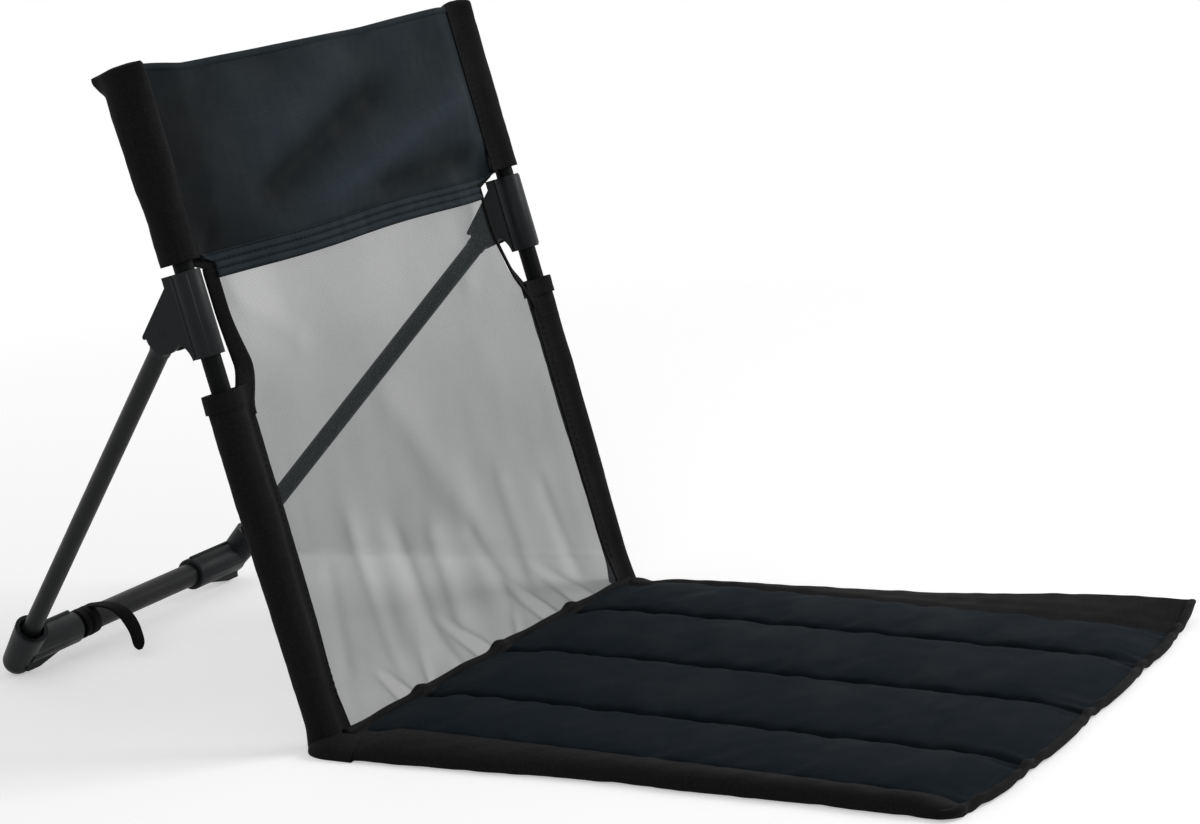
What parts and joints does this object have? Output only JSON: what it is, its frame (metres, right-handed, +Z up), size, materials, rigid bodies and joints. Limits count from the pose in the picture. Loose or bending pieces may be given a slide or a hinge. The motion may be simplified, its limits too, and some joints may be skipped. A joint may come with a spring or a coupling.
{
  "type": "folding camping chair",
  "caption": "Legless folding ground chair: padded channelled seat mat, reclined mesh back on tube poles, and a rear tube support that folds against the back.",
  "frame": {"origin": "on the ground, under the middle of the chair's length and width", "axes": "+Z up, the chair faces -Y, +X is to the right as seen from in front"},
  "size_m": [0.394, 0.6988, 0.4048],
  "materials": {
    "tube": "satin dark grey coated aluminium tube",
    "moulding": "satin black moulded nylon",
    "cap_plastic": "black plastic",
    "steel": "dark zinc plated",
    "oxford_cloth": "woven blue-black cloth",
    "tape_cloth": "brown-black woven tape",
    "mesh": "open dark knitted mesh",
    "strap": "black webbing",
    "foam": "closed-cell foam inside the seat"
  },
  "bodies": {
    "back_frame": {"left_pole": "tube", "right_pole": "tube", "left_hub": "moulding", "right_hub": "moulding", "hub_pins": "steel", "pole_top_caps": "cap_plastic", "pole_foot_caps": "cap_plastic", "head_band": "oxford_cloth", "head_hem": "tape_cloth", "left_head_sleeve": "tape_cloth", "right_head_sleeve": "tape_cloth", "back_mesh": "mesh", "left_mesh_binding": "tape_cloth", "right_mesh_binding": "tape_cloth", "left_back_sleeve": "tape_cloth", "right_back_sleeve": "tape_cloth", "fold_tape": "tape_cloth"},
    "rear_support": {"left_leg_knuckle": "moulding", "right_leg_knuckle": "moulding", "left_rear_leg": "tube", "right_rear_leg": "tube", "left_foot_elbow": "moulding", "right_foot_elbow": "moulding", "rear_cross_bar": "tube", "storage_strap": "strap"},
    "seat": {"seat_top_cover": "oxford_cloth", "seat_base_cover": "oxford_cloth", "left_seat_band": "tape_cloth", "right_seat_band": "tape_cloth", "seat_front_binding": "tape_cloth", "seat_rear_binding": "tape_cloth", "seat_foam_1": "foam", "seat_foam_2": "foam", "seat_foam_3": "foam", "seat_foam_4": "foam"}
  },
  "joints": [
    {"name": "support_fold", "type": "hinge", "parent": "back_frame", "child": "rear_support", "pos_m": [0, 0.13663, 0.24703], "axis": [-1, 0, 0], "range_deg": [0, 52]},
    {"name": "seat_fold", "type": "hinge", "parent": "back_frame", "child": "seat", "pos_m": [0, 0.04061, 0.0092], "axis": [-1, 0, 0], "range_deg": [0, 96]}
  ]
}
